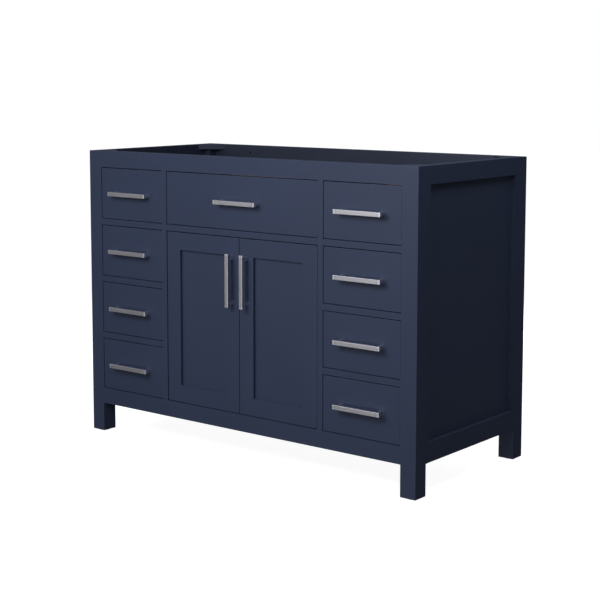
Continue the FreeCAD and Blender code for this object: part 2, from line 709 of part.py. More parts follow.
def save_drawer(name, x0, x1, z0):
    """Writes the four nodes of one drawer."""
    make_box = notched_box if name == "centre_drawer" else straight_box
    left, right = box_limits(x0, x1)
    save(name + "_front", drawer_front(x0, x1, z0))
    save(name + "_box", *make_box(x0, x1, z0))
    pull = pull_set(FRONT_THICK + BOARD_THICK)
    save(name + "_pull", *placed(pull, (x0 + x1) / 2, FACE, z0 + ROW_HEIGHT / 2))
    members = drawer_member(left, -1, z0 + BOX_LIFT) + drawer_member(right, 1, z0 + BOX_LIFT)
    save(name + "_runners", *members)


def door_pull_place():
    """Middle of the left door's pull."""
    return -DOOR_INNER - DOOR_FRAME / 2, DOOR_HIGH - DOOR_PULL_DROP - PULL_LENGTH / 2


def hinge_levels():
    """Height of the two hinges of a door."""
    return [DOOR_LOW + HINGE_END, DOOR_HIGH - HINGE_END]


def cup_x():
    """Middle of the left door's hinge cups."""
    return -DOOR_OUTER + CUP_EDGE + CUP_RADIUS


def cup_screw_levels(z):
    """Height of the two screws of a hinge cup."""
    return [z + side * CUP_SCREW_SPACING / 2 for side in (-1, 1)]


def cup_bore(z):
    """The hole for a hinge cup in the back of the left door."""
    return rod(cup_x(), BOX_FRONT, z, CUP_RADIUS, CUP_DEPTH, (0, -1, 0))


def door_panel():
    """The flat panel of the left door with its tongue all round."""
    y0 = FACE + DOOR_PANEL_RECESS
    reach = DOOR_FRAME - DOOR_PANEL_TONGUE
    return block(-DOOR_OUTER + reach, -DOOR_INNER - reach, y0, y0 + DOOR_PANEL_THICK,
                 DOOR_LOW + reach, DOOR_HIGH - reach)


def door_frame():
    """Stiles and rails of the left door."""
    x0 = -DOOR_OUTER
    x1 = -DOOR_INNER
    panel = door_panel()
    mid_y = FACE + DOOR_PANEL_RECESS + DOOR_PANEL_THICK / 2
    stiles = []
    for left, outer in ((x0, x0), (x1 - DOOR_FRAME, x1)):
        stile = block(left, left + DOOR_FRAME, FACE, BOX_FRONT, DOOR_LOW, DOOR_HIGH)
        stile = eased(stile, EASED_EDGE, dict(x=outer, y=FACE),
                      dict(y=FACE, z=DOOR_LOW), dict(y=FACE, z=DOOR_HIGH))
        stiles.append(stile)
    rails = []
    tenons = []
    for low, outer in ((DOOR_LOW, DOOR_LOW), (DOOR_HIGH - DOOR_FRAME, DOOR_HIGH)):
        rail = block(x0 + DOOR_FRAME, x1 - DOOR_FRAME, FACE, BOX_FRONT, low, low + DOOR_FRAME)
        rail = eased(rail, EASED_EDGE, dict(y=FACE, z=outer))
        for start in (x0 + DOOR_FRAME - DOOR_TENON, x1 - DOOR_FRAME):
            tenon = block(start, start + DOOR_TENON,
                          mid_y - DOOR_TENON_THICK / 2, mid_y + DOOR_TENON_THICK / 2,
                          low + TENON_SHOULDER, low + DOOR_FRAME - TENON_SHOULDER)
            tenons.append(tenon)
            rail = rail.fuse(tenon)
        rails.append(cut_from(rail, [panel], PANEL_FIT))
    stiles = [cut_from(cut_from(stile, tenons, TENON_FIT), [panel], PANEL_FIT) for stile in stiles]
    for z in hinge_levels():
        holes = [pilot(cup_x(), BOX_FRONT, screw_z, (0, 1, 0)) for screw_z in cup_screw_levels(z)]
        stiles[0] = stiles[0].cut([cup_bore(z)] + holes)
    pull_x, pull_z = door_pull_place()
    for z in pull_screw_places():
        stiles[1] = stiles[1].cut(screw_hole(pull_x, FACE, BOX_FRONT, pull_z + z))
    return stiles + rails


def hinge_cup(z):
    """A hinge cup, its pin and its screws, let into the back of the left door."""
    x = cup_x()
    outer = cup_bore(z)
    inner = rod(x, BOX_FRONT + CUP_EAR_THICK, z, CUP_RADIUS - CUP_SHEET,
                CUP_DEPTH - CUP_SHEET + CUP_EAR_THICK, (0, -1, 0))
    ears = block(x - CUP_EAR_WIDTH / 2, x + CUP_EAR_WIDTH / 2, BOX_FRONT, BOX_FRONT + CUP_EAR_THICK,
                 z - CUP_EAR_LENGTH / 2, z + CUP_EAR_LENGTH / 2)
    chord = math.sqrt((CUP_RADIUS - CUP_SHEET) ** 2 - (-PIN_X - x) ** 2) + CUP_SHEET / 2
    pin = rod(-PIN_X, PIN_Y, z - chord, PIN_RADIUS, 2 * chord, (0, 0, 1))
    cup = outer.fuse(ears).cut(inner).cut(pin)
    screws = []
    for screw_z in cup_screw_levels(z):
        screws.append(fixing(x, BOX_FRONT + CUP_EAR_THICK, screw_z, (0, 1, 0), CUP_EAR_THICK))
        cup = cup.cut(rod(x, BOX_FRONT, screw_z, FIXING_RADIUS + SCREW_FIT, CUP_EAR_THICK, (0, 1, 0)))
    return [cup, pin] + screws


def plate(start, end, z):
    """A strip of hinge steel on edge between two points in plan."""
    length = math.hypot(end[0] - start[0], end[1] - start[1])
    half = ARM_THICK / 2
    strip = block(-half, length + half, -half, half, z - ARM_HEIGHT / 2, z + ARM_HEIGHT / 2)
    turn = math.degrees(math.atan2(end[1] - start[1], end[0] - start[0]))
    strip.rotate(FreeCAD.Vector(0, 0, 0), FreeCAD.Vector(0, 0, 1), turn)
    strip.translate(FreeCAD.Vector(start[0], start[1], 0))
    return strip


def hinge_arm(z):
    """A cranked arm from the left partition to the knuckle on the pin, and its screws."""
    wall = -CENTRE_HALF
    base_y = hinge_base_y()
    elbow_x = -PIN_X + DOOR_REAR + CUP_EAR_THICK + ARM_CLEAR + ARM_THICK / 2
    elbow_y = PIN_Y + elbow_x + PIN_X
    arm_y = base_y + ARM_THICK / 2
    knuckle = rod(-PIN_X, PIN_Y, z - ARM_HEIGHT / 2, KNUCKLE_RADIUS, ARM_HEIGHT, (0, 0, 1))
    arm = knuckle.fuse(plate((-PIN_X, PIN_Y), (elbow_x, elbow_y), z))
    arm = arm.fuse(plate((elbow_x, elbow_y), (elbow_x, arm_y), z))
    arm = arm.fuse(plate((wall + ARM_THICK / 2, arm_y), (elbow_x, arm_y), z))
    base = block(wall, wall + MOUNT_PLATE_THICK, base_y, base_y + MOUNT_PLATE_LENGTH,
                 z - MOUNT_PLATE_HEIGHT / 2, z + MOUNT_PLATE_HEIGHT / 2)
    bores = [rod(-PIN_X, PIN_Y, z - ARM_HEIGHT / 2, PIN_RADIUS + PIN_FIT, ARM_HEIGHT, (0, 0, 1))]
    screws = []
    for y, screw_z in mount_screw_places(z):
        screws.append(fixing(wall + MOUNT_PLATE_THICK, y, screw_z, (1, 0, 0), MOUNT_PLATE_THICK))
        bores.append(rod(wall, y, screw_z, FIXING_RADIUS + SCREW_FIT, MOUNT_PLATE_THICK, (1, 0, 0)))
    return [arm.fuse(base).cut(bores).removeSplitter()] + screws


def save_door(side, flip):
    """Writes the four nodes of one door."""
    pull_x, pull_z = door_pull_place()
    cups = [solid for z in hinge_levels() for solid in hinge_cup(z)]
    pulls = placed(pull_set(FRONT_THICK), pull_x, FACE, pull_z, upright=True)
    save(side + "_door_frame", *[flip(solid) for solid in door_frame()])
    save(side + "_door_panel", flip(door_panel()))
    save(side + "_door_pull", *[flip(solid) for solid in pulls])
    save(side + "_door_hinge_cups", *[flip(solid) for solid in cups])


def save_carcase():
    """Writes the posts, rails, panels and fixed fittings."""
    holes = carcase_pilots()
    left_partition = partition().cut(holes)
    for place, front in (("front", True), ("back", False)):
        post = left_post(front).cut(holes)
        save(place + "_left_post", post)
        save(place + "_right_post", mirrored(post))
    top_tenon = mullion_tenon(RIM_UNDERSIDE, 1)
    bottom_tenon = mullion_tenon(OPENING_FLOOR, -1)
    save("front_top_rail", front_rail(RIM_UNDERSIDE, HEIGHT, top_tenon, HEIGHT))
    save("front_bottom_rail", front_rail(FLOOR_GAP, OPENING_FLOOR, bottom_tenon, FLOOR_GAP))
    save("mullions", mullion(), mirrored(mullion()))
    save("drawer_rails", *drawer_rails())
    save("carcase_rails", *carcase_rails())
    save("side_panels", side_panel(), mirrored(side_panel()))
    save("partitions", left_partition, mirrored(left_partition))
    save("floor_panel", floor_panel())
    save("back_panel", back_panel())
    save("leg_glides", *leg_glides())
    save("cabinet_runners", *cabinet_runners())
    arms = [solid for z in hinge_levels() for solid in hinge_arm(z)]
    save("hinge_arms", *arms, *[mirrored(arm) for arm in arms])


os.makedirs("parts", exist_ok=True)
save_carcase()
for bay in drawer_bays():
    save_drawer(*bay)
save_door("left", lambda solid: solid)
save_door("right", mirrored)
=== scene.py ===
import json
import math

import bmesh
import bpy
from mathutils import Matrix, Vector


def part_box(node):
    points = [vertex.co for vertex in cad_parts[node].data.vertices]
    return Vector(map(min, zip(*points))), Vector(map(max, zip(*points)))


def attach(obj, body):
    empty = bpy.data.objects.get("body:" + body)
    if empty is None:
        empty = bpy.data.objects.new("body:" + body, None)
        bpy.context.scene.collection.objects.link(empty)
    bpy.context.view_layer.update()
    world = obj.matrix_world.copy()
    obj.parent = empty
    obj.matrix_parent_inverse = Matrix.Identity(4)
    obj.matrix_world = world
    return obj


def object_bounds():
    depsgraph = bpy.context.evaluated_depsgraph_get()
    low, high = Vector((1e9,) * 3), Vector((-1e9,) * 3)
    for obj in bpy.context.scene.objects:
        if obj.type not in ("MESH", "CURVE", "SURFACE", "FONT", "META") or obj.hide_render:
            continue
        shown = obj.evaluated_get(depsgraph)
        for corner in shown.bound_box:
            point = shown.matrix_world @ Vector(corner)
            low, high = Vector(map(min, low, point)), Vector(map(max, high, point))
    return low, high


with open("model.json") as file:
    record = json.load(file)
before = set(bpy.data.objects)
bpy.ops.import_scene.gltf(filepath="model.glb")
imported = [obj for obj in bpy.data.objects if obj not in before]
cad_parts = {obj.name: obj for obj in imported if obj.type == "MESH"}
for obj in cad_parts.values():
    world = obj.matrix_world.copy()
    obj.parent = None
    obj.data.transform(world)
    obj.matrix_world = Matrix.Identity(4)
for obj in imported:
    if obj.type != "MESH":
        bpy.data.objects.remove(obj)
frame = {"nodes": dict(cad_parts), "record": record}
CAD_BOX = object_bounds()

bl_info = {
    "name": "Bathroom Vanity Cabinet",
    "version": (1, 0, 0),
    "blender": (4, 5, 0),
    "location": "3D View > Sidebar > Vanity",
    "description": "Finishes, small fittings and a studio for a bathroom vanity cabinet",
    "category": "Object",
}

SLOT_OF = {part["node"]: part["material_slot"] for part in frame["record"]["subparts"]}
LAMPS = ("key", "fill", "side", "back")
MM = 0.001
WHITE = (1.0, 1.0, 1.0, 1.0)
SQUARE = 0.5                       # a face looks along an axis when it faces it more than this

# The finishes. Edges are the noise at which a mark starts and at which it is full, tones multiply a
# colour, and the lines in a metre are given along X, Y and Z.

FIGURE_EDGES = (0.38, 0.68)        # growth lines of the birch
PORE_EDGES = (0.50, 0.72)
PORES_PER_LINE = (9.0, 9.0, 9.0)   # pores across one growth line, on each axis
PORE_TONE = 0.8
BOARD_TONE = 1.25                  # tone that some boards lean towards
TAIL_EDGES = (0.24, 0.26)          # side of a dovetail, as shares of its height and gap
END_GRAIN_LINES = (900.0, 260.0, 900.0)
END_GRAIN_SHARES = (0.45, 0.8)     # least and most of the end grain that shows
END_GRAIN_TONE = 0.72
# Painted sheen: the caps of a pull are drawn this much lighter than the bar.
CAP_SHEEN_TONE = 1.18                    # caps of a pull
SEAM_TONE = 0.45                   # line beside a cap
FINE_LINES = 2.7                   # fine lines to one brush line
DRAWN_LINES = (300.0, 14.0, 900.0)  # lines left in the steel by rolling it
MOTTLE_TONES = (1.08, 0.84)
SCUFFS = 90.0                      # scuffs in a metre of plastic
SCUFF_EDGES = (0.5, 0.8)
SCUFF_TONE = 1.7

# The levers and the sky

BAR_STEPS = 16                     # pieces of a lever's bowed edge
END_STEPS = 8                      # pieces of its round ends
LEVER_RIBS = 3
RIM_SEGMENTS = 2                   # pieces of a softened edge
WELD = 0.1                         # share of a softened edge below which points are joined
SKY_EDGES = (-0.7, 0.9)            # cosines at which the lit side of the sky starts and is full


# Reading the frame

def nodes_in(slot):
    """Names of the nodes that take a finish slot."""
    return sorted(node for node, name in SLOT_OF.items() if name == slot)


def dress(node, material):
    """Gives every material slot of a node one finish."""
    mesh = frame["nodes"][node].data
    mesh.materials.clear()
    mesh.materials.append(material)


# Shader maths

class Field:
    """An output of a shader node that takes part in arithmetic."""

    def __init__(self, graph, socket):
        self.graph = graph
        self.socket = socket

    def maths(self, operation, *values):
        """Adds a Math node on these values."""
        return self.graph.node("ShaderNodeMath", {"operation": operation}, dict(enumerate(values)))

    def __add__(self, other):
        return self.maths("ADD", self, other)

    def __radd__(self, other):
        return self.maths("ADD", other, self)

    def __sub__(self, other):
        return self.maths("SUBTRACT", self, other)

    def __rsub__(self, other):
        return self.maths("SUBTRACT", other, self)

    def __mul__(self, other):
        return self.maths("MULTIPLY", self, other)

    def __rmul__(self, other):
        return self.maths("MULTIPLY", other, self)

    def __gt__(self, other):
        return self.maths("GREATER_THAN", self, other)

    def __lt__(self, other):
        return self.maths("LESS_THAN", self, other)

    def __abs__(self):
        return self.maths("ABSOLUTE", self)


class Graph:
    """The node tree of one material, or of the world."""

    def __init__(self, tree):
        self.tree = tree
        tree.nodes.clear()

    def node(self, kind, settings=None, inputs=None, output=0):
        """Adds a node: its settings first, then the values or links of its sockets."""
        made = self.tree.nodes.new(kind)
        for name, value in (settings or {}).items():
            setattr(made, name, value)
        for key, value in (inputs or {}).items():
            if isinstance(value, Field):
                self.tree.links.new(value.socket, made.inputs[key])
            else:
                made.inputs[key].default_value = value
        return Field(self, made.outputs[output]) if made.outputs else None

    def place(self):
        """The point on the surface, in metres, which stays with the piece as it moves."""
        return self.node("ShaderNodeTexCoord", output="Object")

    def facing(self):
        """How squarely the surface faces along X, Y and Z, each from 0 to 1."""
        return [abs(axis) for axis in self.split(self.node("ShaderNodeTexCoord", output="Normal"))]

    def split(self, vector):
        """The X, Y and Z of a vector."""
        return [self.node("ShaderNodeSeparateXYZ", None, {0: vector}, axis) for axis in range(3)]

    def stretched(self, vector, factors):
        """A vector scaled on each axis."""
        return self.node("ShaderNodeVectorMath", {"operation": "MULTIPLY"}, {0: vector, 1: factors})

    def dot(self, first, second):
        """The dot product of two vectors."""
        settings = {"operation": "DOT_PRODUCT"}
        return self.node("ShaderNodeVectorMath", settings, {0: first, 1: second}, "Value")

    def noise(self, vector, scale=1.0, detail=2.0, distortion=0.0):
        """Smooth noise from 0 to 1."""
        inputs = {"Vector": vector, "Scale": scale, "Detail": detail, "Distortion": distortion}
        return self.node("ShaderNodeTexNoise", None, inputs, "Fac")

    def rise(self, value, low, high):
        """0 below low, 1 above high and a smooth step between."""
        inputs = {"Value": value, "From Min": low, "From Max": high}
        return self.node("ShaderNodeMapRange", {"interpolation_type": "SMOOTHSTEP"}, inputs)

    def spread(self, value, low, high):
        """A value from 0 to 1 as a value from low to high."""
        return self.node("ShaderNodeMapRange", None, {"Value": value, "To Min": low, "To Max": high})

    def mix(self, factor, first, second, blend="MIX"):
        """Two colours mixed by a factor."""
        settings = {"data_type": "RGBA", "blend_type": blend}
        return self.node("ShaderNodeMix", settings, {0: factor, 6: first, 7: second}, 2)

    def choose(self, factor, first, second):
        """Two vectors mixed by a factor."""
        return self.node("ShaderNodeMix", {"data_type": "VECTOR"}, {0: factor, 4: first, 5: second}, 1)

    def bump(self, height, depth, strength=1.0):
        """Surface relief, with its depth in metres."""
        inputs = {"Height": height, "Distance": depth, "Strength": strength}
        return self.node("ShaderNodeBump", None, inputs)

    def end(self, kind, shader):
        """Adds an output node for a shader."""
        self.node(kind, None, {"Surface": shader})


def new_material(name):
    """An empty material and its graph."""
    material = bpy.data.materials.new(name)
    material.use_nodes = True
    return material, Graph(material.node_tree)


def surface(graph, **sockets):
    """Ends a material with one surface shader; sockets are named with underscores."""
    inputs = {name.replace("_", " "): value for name, value in sockets.items()}
    shader = graph.node("ShaderNodeBsdfPrincipled", None, inputs)
    graph.end("ShaderNodeOutputMaterial", shader)


def shade(colour, factor=1.0):
    """A colour with full alpha, made lighter or darker by a factor."""
    return (colour[0] * factor, colour[1] * factor, colour[2] * factor, 1.0)


# Settings

def length_property(name, description, default):
    """A size in metres."""
    return bpy.props.FloatProperty(name=name, description=description, default=default, min=0.0,
                                   precision=5, subtype="DISTANCE", unit="LENGTH")


def colour_property(name, description, default):
    """A surface colour."""
    return bpy.props.FloatVectorProperty(name=name, description=description, default=default,
                                         size=3, min=0.0, max=1.0, subtype="COLOR")


def share_property(name, description, default):
    """A share from 0 to 1."""
    return bpy.props.FloatProperty(name=name, description=description, default=default,
                                   min=0.0, max=1.0, subtype="FACTOR")


def angle_property(name, description, degrees):
    """An angle, given in degrees."""
    return bpy.props.FloatProperty(name=name, description=description, default=math.radians(degrees),
                                   subtype="ANGLE", unit="ROTATION")


def strength_property(name, description, default):
    """The strength of a light, where 1 is white."""
    return bpy.props.FloatProperty(name=name, description=description, default=default,
                                   min=0.0, soft_max=2.0)


def point_property(name, description, default):
    """A place in metres."""
    return bpy.props.FloatVectorProperty(name=name, description=description, default=default,
                                         size=3, subtype="XYZ", unit="LENGTH")


def power_property(name, description, default):
    """The power of a lamp in watts."""
    return bpy.props.FloatProperty(name=name, description=description, default=default,
                                   min=0.0, unit="POWER")


class LacquerSettings(bpy.types.PropertyGroup):
    """The satin lacquer on the cabinet, the drawer fronts and the doors."""

    colour: colour_property("Colour", "Colour of the lacquer", (0.0285, 0.0405, 0.0825))
    roughness: share_property("Roughness", "Satin sheen of the lacquer", 0.45)
    gloss: share_property("Gloss", "Strength of the reflections", 0.3)
    # Painted shade: inside the carcase the lacquer is this share of its colour.
    inside_shade: share_property("Inside Shade", "Depth of colour of the painted shade inside", 0.55)
    peel: length_property("Peel", "Width of the fine ripple left by spraying", 0.0022)
    peel_depth: length_property("Peel Depth", "Depth of the ripple", 0.00001)
    cloud: length_property("Cloud", "Width of the slow changes of tone", 0.16)
    cloud_tone: share_property("Cloud Tone", "Change of tone each way", 0.05)
    cloud_sheen: share_property("Cloud Sheen", "Change of roughness each way", 0.04)


class BirchSettings(bpy.types.PropertyGroup):
    """The clear-coated birch of the drawer boxes."""

    pale: colour_property("Pale Wood", "Colour between the growth lines", (0.60, 0.45, 0.29))
    dark: colour_property("Dark Wood", "Colour of the growth lines", (0.46, 0.31, 0.18))
    roughness: share_property("Roughness", "Sheen of the clear coat", 0.48)
    line_roughness: share_property("Line Roughness", "Sheen over the growth lines", 0.58)
    gloss: share_property("Gloss", "Strength of the reflections", 0.4)
    pore_depth: share_property("Pore Depth", "Darkening in the pores", 0.5)
    board_change: share_property("Board Change", "Change of tone from board to board", 0.22)
    board: length_property("Board", "Thickness of the boards", 0.012)
    figure: length_property("Figure", "Distance between growth lines", 0.011)
    grain: length_property("Grain", "Length of a growth line", 0.18)
    relief: length_property("Relief", "Depth of the grain", 0.00003)
    tail: length_property("Tail", "Height of one dovetail and its gap", 0.0236)


class NickelSettings(bpy.types.PropertyGroup):
    """The brushed nickel of the pulls."""

    colour: colour_property("Colour", "Colour of the metal", (0.60, 0.597, 0.648))
    roughness: share_property("Roughness", "Softness of the reflections", 0.32)
    end: share_property("End", "Share of the bar taken by the cap at each end", 0.055)
    seam: share_property("Seam", "Share of the bar taken by the line beside a cap", 0.006)
    line: length_property("Line", "Width of the brush lines", 0.0011)
    run: length_property("Run", "Length of the brush lines", 0.12)
    line_tone: share_property("Line Tone", "Change of tone of the lines each way", 0.14)
    line_sheen: share_property("Line Sheen", "Change of roughness of the lines each way", 0.08)
    relief: length_property("Relief", "Depth of the lines", 0.00002)


class ZincSettings(bpy.types.PropertyGroup):
    """The bright zinc plate of runners and hinges."""

    colour: colour_property("Colour", "Colour of the plate", (0.58, 0.60, 0.62))
    roughness: share_property("Roughness", "Softness of the reflections", 0.34)
    mottle: length_property("Mottle", "Width of the patches in the plate", 0.004)
    smoother: share_property("Smoother", "Drop in roughness along the drawn lines", 0.07)
    rougher: share_property("Rougher", "Rise in roughness between them", 0.1)
    relief: length_property("Relief", "Depth of the drawn lines", 0.00002)


class PlasticSettings(bpy.types.PropertyGroup):
    """The moulded plastic of the leg glides and the runner levers."""

    colour: colour_property("Colour", "Colour of the plastic", (0.045, 0.045, 0.048))
    roughness: share_property("Roughness", "Softness of the reflections", 0.6)
    smoother: share_property("Smoother", "Drop in roughness between the scuffs", 0.08)
    scuffed: share_property("Scuffed", "Roughness of the scuffs", 0.7)
    grain: length_property("Grain", "Width of the moulded grain", 0.0008)
    relief: length_property("Relief", "Depth of the grain", 0.00005)


class LeverSettings(bpy.types.PropertyGroup):
    """The plastic levers that release the drawers from their runners."""

    length: length_property("Length", "From the pivot to the middle of the thumb end", 0.056)
    pivot: length_property("Pivot", "Radius of the end at the pivot", 0.0058)
    thumb: length_property("Thumb", "Radius of the thumb end", 0.0036)
    bow: length_property("Bow", "Dip of the arm between its ends", 0.0045)
    thick: length_property("Thickness", "Thickness of the arm", 0.0020)
    raised: length_property("Raised", "Height of the stud and the ribs above the arm", 0.0008)
    stud: length_property("Stud", "Radius of the pivot stud", 0.0026)
    rib: length_property("Rib", "Width of a thumb rib, and of the gap beside it", 0.0012)
    soft: length_property("Soft Edge", "Width of the softened edges", 0.0003)
    sheet: length_property("Sheet", "Thickness of the runner's steel under the lever", 0.0013)
    place: share_property("Place", "Place of the pivot along the runner", 0.62)


class StudioSettings(bpy.types.PropertyGroup):
    """The floor, the light and the camera."""

    floor_size: length_property("Floor Size", "Width of the floor", 30.0)
    floor_colour: colour_property("Floor Colour", "Colour that the floor gives back", (0.20, 0.20, 0.20))
    floor_shown: colour_property("Floor Shown", "Colour of the floor in view", (0.50, 0.50, 0.50))
    floor_glow: strength_property("Floor Glow", "White that the floor shows by itself", 0.92)
    bright_side: strength_property("Bright Side", "Sky on the lit side", 0.28)
    dark_side: strength_property("Dark Side", "Sky on the side away from the light", 0.07)
    sky_turn: angle_property("Sky Turn", "Lit side of the sky, from the front to the left", 25.0)
    sky_lift: angle_property("Sky Lift", "Height of the lit side of the sky", 40.0)
    mirror_bright: strength_property("Mirror Bright", "White backdrop seen in metal", 1.78)
    mirror_dark: strength_property("Mirror Dark", "Dark surroundings seen in metal", 0.05)
    mirror_poles: strength_property("Mirror Poles", "Floor and ceiling seen in metal", 0.5)
    poles_start: angle_property("Poles Start", "Steepness where the floor and ceiling begin", 24.0)
    poles_full: angle_property("Poles Full", "Steepness where they reach full strength", 50.0)
    mirror_turn: angle_property("Mirror Turn", "Middle of that backdrop, from the front to the left", -10.0)
    mirror_lift: angle_property("Mirror Lift", "Height of the middle of that backdrop", 29.0)
    mirror_core: angle_property("Mirror Core", "Half width of its white middle", 49.5)
    mirror_edge: angle_property("Mirror Edge", "Half width where it has faded out", 56.0)
    key_place: point_property("Key Place", "Place of the main lamp", (0.0, -1.905, 1.535))
    key_aim: point_property("Key Aim", "Point that the main lamp faces", (0.0, 0.0, 0.435))
    key_size: length_property("Key Size", "Width of the main lamp", 0.8)
    key_power: power_property("Key Power", "Power of the main lamp", 21.8)
    fill_place: point_property("Fill Place", "Place of the second lamp", (0.8, -1.4, 1.37))
    fill_aim: point_property("Fill Aim", "Point that the second lamp faces", (0.8, 0.0, 0.87))
    fill_size: length_property("Fill Size", "Width of the second lamp", 0.6)
    fill_power: power_property("Fill Power", "Power of the second lamp", 2.2)
    side_place: point_property("Side Place", "Place of the lamp over the right side", (1.2, -0.2, 1.77))
    side_aim: point_property("Side Aim", "Point that this lamp faces", (1.2, 0.0, 0.87))
    side_size: length_property("Side Size", "Width of this lamp", 0.6)
    side_power: power_property("Side Power", "Power of this lamp", 5.9)
    back_place: point_property("Back Place", "Place of the lamp behind the cabinet", (-1.3, 2.3, 0.75))
    back_aim: point_property("Back Aim", "Point that this lamp faces", (-0.2, 0.28, 0.435))
    back_size: length_property("Back Size", "Width of this lamp", 1.0)
    back_power: power_property("Back Power", "Power of this lamp", 55.0)
    camera_place: point_property("Camera Place", "Place of the camera", (2.56313, -3.23760, 1.10581))
    camera_turn: angle_property("Camera Turn", "Turn of the camera to the right of the front", 38.860)
    camera_tilt: angle_property("Camera Tilt", "How far the camera looks down", 6.303)
    lens: bpy.props.FloatProperty(name="Lens", description="Focal length in millimetres",
                                  default=84.478, min=1.0, unit="CAMERA")
    shift_x: bpy.props.FloatProperty(name="Shift Right", description="Sideways shift of the view",
                                     default=0.025)
    shift_y: bpy.props.FloatProperty(name="Shift Up", description="Upward shift of the view",
                                     default=-0.12)


# Finishes

def inside_carcase(graph, place):
    """1 on the faces inside the carcase and below its rim, where the lacquer takes painted shade, and 0
    elsewhere.
    """
    x, y, z = graph.split(place)
    low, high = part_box("floor_panel")
    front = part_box("partitions")[0].y - MM
    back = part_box("back_panel")[0].y + MM
    across = abs(x) < high.x + MM
    return across * (y > front) * (y < back) * (z > low.z) * (z < CAD_BOX[1][2] - MM)


def lacquer_material(settings):
    """Satin lacquer with sprayed ripple, slow changes of tone and painted shade on the faces inside the
    carcase.
    """
    material, graph = new_material("navy_lacquer")
    place = graph.place()
    cloud = graph.noise(place, 1 / settings.cloud, detail=3.0)
    peel = graph.noise(place, 1 / settings.peel, detail=1.0)
    dark = shade(settings.colour, 1 - settings.cloud_tone)
    pale = shade(settings.colour, 1 + settings.cloud_tone)
    colour = graph.mix(cloud, dark, pale)
    # Painted shade: the faces inside the carcase take a darker copy of the lacquer.
    colour = graph.mix(inside_carcase(graph, place), colour, shade(settings.colour, settings.inside_shade))
    change = settings.cloud_sheen
    roughness = graph.spread(cloud, settings.roughness - change, settings.roughness + change)
    surface(graph, Base_Color=colour, Roughness=roughness, Specular_IOR_Level=settings.gloss,
            Normal=graph.bump(peel, settings.peel_depth))
    return material


def birch_material(settings, node):
    """Clear-coated birch boards with dovetailed corners for one drawer box."""
    material, graph = new_material("birch_" + node)
    low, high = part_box(node)
    place = graph.place()
    _, y, z = graph.split(place)
    faces_x, faces_y, faces_z = graph.facing()
    in_front = y < low.y + settings.board
    in_back = y > high.y - settings.board
    in_end = in_front + in_back
    on_rim = z > high.z - MM
    across = (faces_y > SQUARE) + (faces_z > SQUARE) * in_end * on_rim
    long_way = (1 / settings.grain, 1 / settings.figure, 1 / settings.figure)
    deep_way = (1 / settings.figure, 1 / settings.grain, 1 / settings.figure)
    run = graph.choose(across, graph.stretched(place, deep_way), graph.stretched(place, long_way))
    figure = graph.rise(graph.noise(run, detail=5.0, distortion=0.6), *FIGURE_EDGES)
    pores = graph.noise(graph.stretched(run, PORES_PER_LINE), detail=3.0)
    board_tone = graph.node("ShaderNodeNewGeometry", output="Random Per Island")
    wood = graph.mix(figure, shade(settings.pale), shade(settings.dark))
    in_pores = graph.rise(pores, *PORE_EDGES) * settings.pore_depth
    wood = graph.mix(in_pores, wood, shade(settings.dark, PORE_TONE))
    wood = graph.mix(board_tone * settings.board_change, wood, shade(settings.dark, BOARD_TONE))
    step = graph.node("ShaderNodeMath", {"operation": "PINGPONG"}, {0: z - low.z, 1: settings.tail / 2})
    tails = graph.rise(step, *(settings.tail * share for share in TAIL_EDGES))
    end_grain = tails * in_end * (faces_x > SQUARE)
    rings = graph.noise(graph.stretched(place, END_GRAIN_LINES), detail=3.0)
    shown = end_grain * graph.spread(rings, *END_GRAIN_SHARES)
    wood = graph.mix(shown, wood, shade(settings.dark, END_GRAIN_TONE))
    surface(graph, Base_Color=wood,
            Roughness=graph.spread(figure, settings.roughness, settings.line_roughness),
            Specular_IOR_Level=settings.gloss,
            Normal=graph.bump(figure + pores, settings.relief, strength=0.6))
    return material


def nickel_material(settings, name, along):
    """Nickel brushed along one axis, 0 for X or 2 for Z, with a painted sheen on the caps at its ends."""
    material, graph = new_material(name)
    factors = [1 / settings.line] * 3
    factors[along] = 1 / settings.run
    run = graph.stretched(graph.place(), factors)
    lines = graph.noise(run, detail=4.0)
    fine = graph.noise(run, FINE_LINES, detail=3.0)
    dark = shade(settings.colour, 1 - settings.line_tone)
    pale = shade(settings.colour, 1 + settings.line_tone)
    colour = graph.mix(lines, dark, pale)
    share = graph.split(graph.node("ShaderNodeTexCoord", output="Generated"))[along]
    middle = 0.5
    from_end = middle - abs(share - middle)
    cap = from_end < settings.end
    seam = abs(from_end - settings.end) < settings.seam / 2
    # Painted sheen: the caps at each end are drawn lighter than the bar, and the seam beside them is a dark
    # joint.
    colour = graph.mix(cap * (1 - seam), colour, shade(settings.colour, CAP_SHEEN_TONE))
    colour = graph.mix(seam, colour, shade(settings.colour, SEAM_TONE))
    change = settings.line_sheen
    roughness = graph.spread(fine, settings.roughness - change, settings.roughness + change)
    surface(graph, Base_Color=colour, Metallic=1.0, Roughness=roughness,
            Normal=graph.bump(lines + fine, settings.relief))
    return material


def zinc_material(settings):
    """Bright zinc plate with a faint mottle."""
    material, graph = new_material("zinc_steel")
    place = graph.place()
    inputs = {"Vector": place, "Scale": 1 / settings.mottle}
    cells = graph.node("ShaderNodeTexVoronoi", {"feature": "SMOOTH_F1"}, inputs, "Distance")
    drawn = graph.noise(graph.stretched(place, DRAWN_LINES), detail=3.0)
    colour = graph.mix(cells, *(shade(settings.colour, tone) for tone in MOTTLE_TONES))
    low = settings.roughness - settings.smoother
    high = settings.roughness + settings.rougher
    surface(graph, Base_Color=colour, Metallic=1.0, Roughness=graph.spread(drawn, low, high),
            Normal=graph.bump(drawn, settings.relief))
    return material


